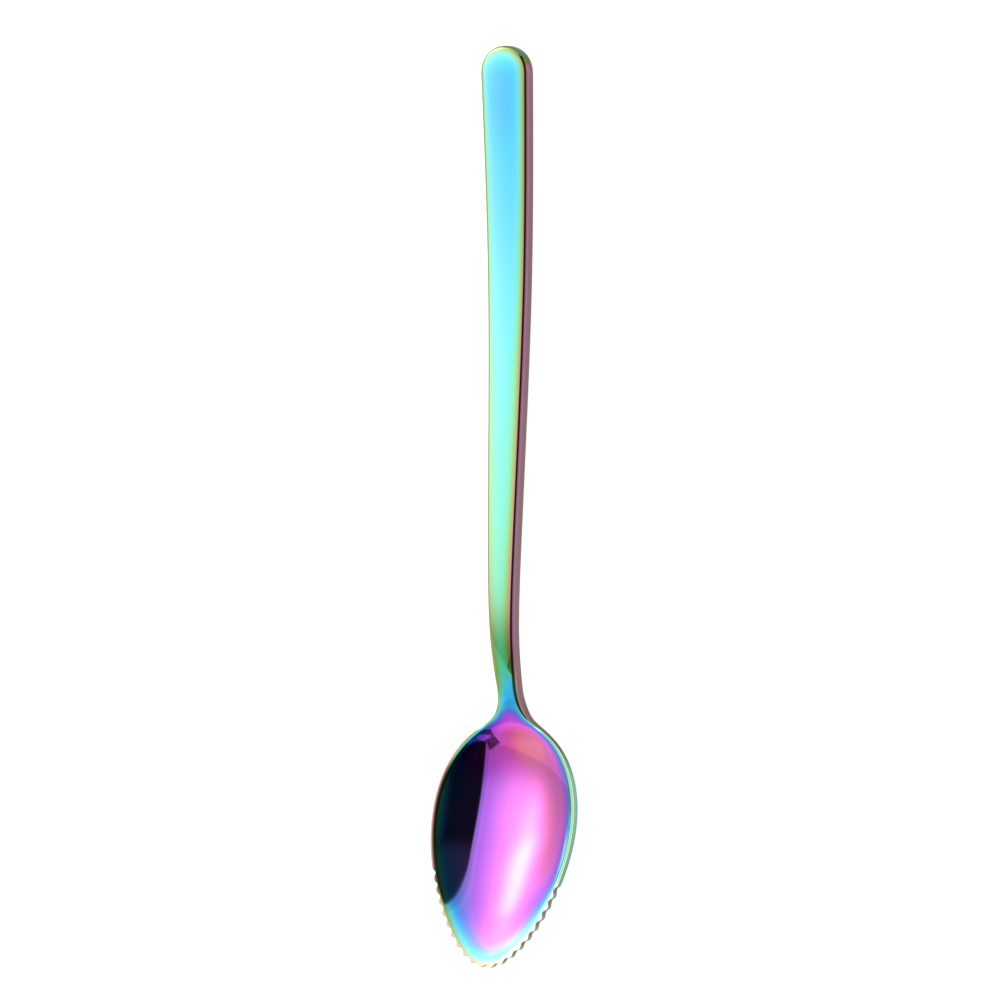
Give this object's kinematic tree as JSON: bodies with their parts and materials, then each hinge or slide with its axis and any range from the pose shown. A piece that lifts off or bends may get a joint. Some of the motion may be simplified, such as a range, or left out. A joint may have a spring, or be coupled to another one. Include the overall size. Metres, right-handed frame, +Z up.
{
  "type": "grapefruit spoon",
  "caption": "Slim one-piece metal spoon with a pointed oval bowl, small rounded teeth round the front of its rim and a flat tapering handle.",
  "frame": {"origin": "middle of the outline, on the surface that the spoon lies on", "axes": "+Y from the bowl's tip to the handle's end, +Z up out of the bowl's hollow, +X to the right seen from above with the tip down"},
  "size_m": [0.0316, 0.1779, 0.0141],
  "materials": {
    "rainbow_film": "mirror-polished stainless steel under a thin rainbow film: blue-green on the handle, magenta in the bowl, green and yellow towards the edges"
  },
  "bodies": {
    "root": {"bowl": "rainbow_film", "neck": "rainbow_film", "handle": "rainbow_film"}
  },
  "joints": []
}
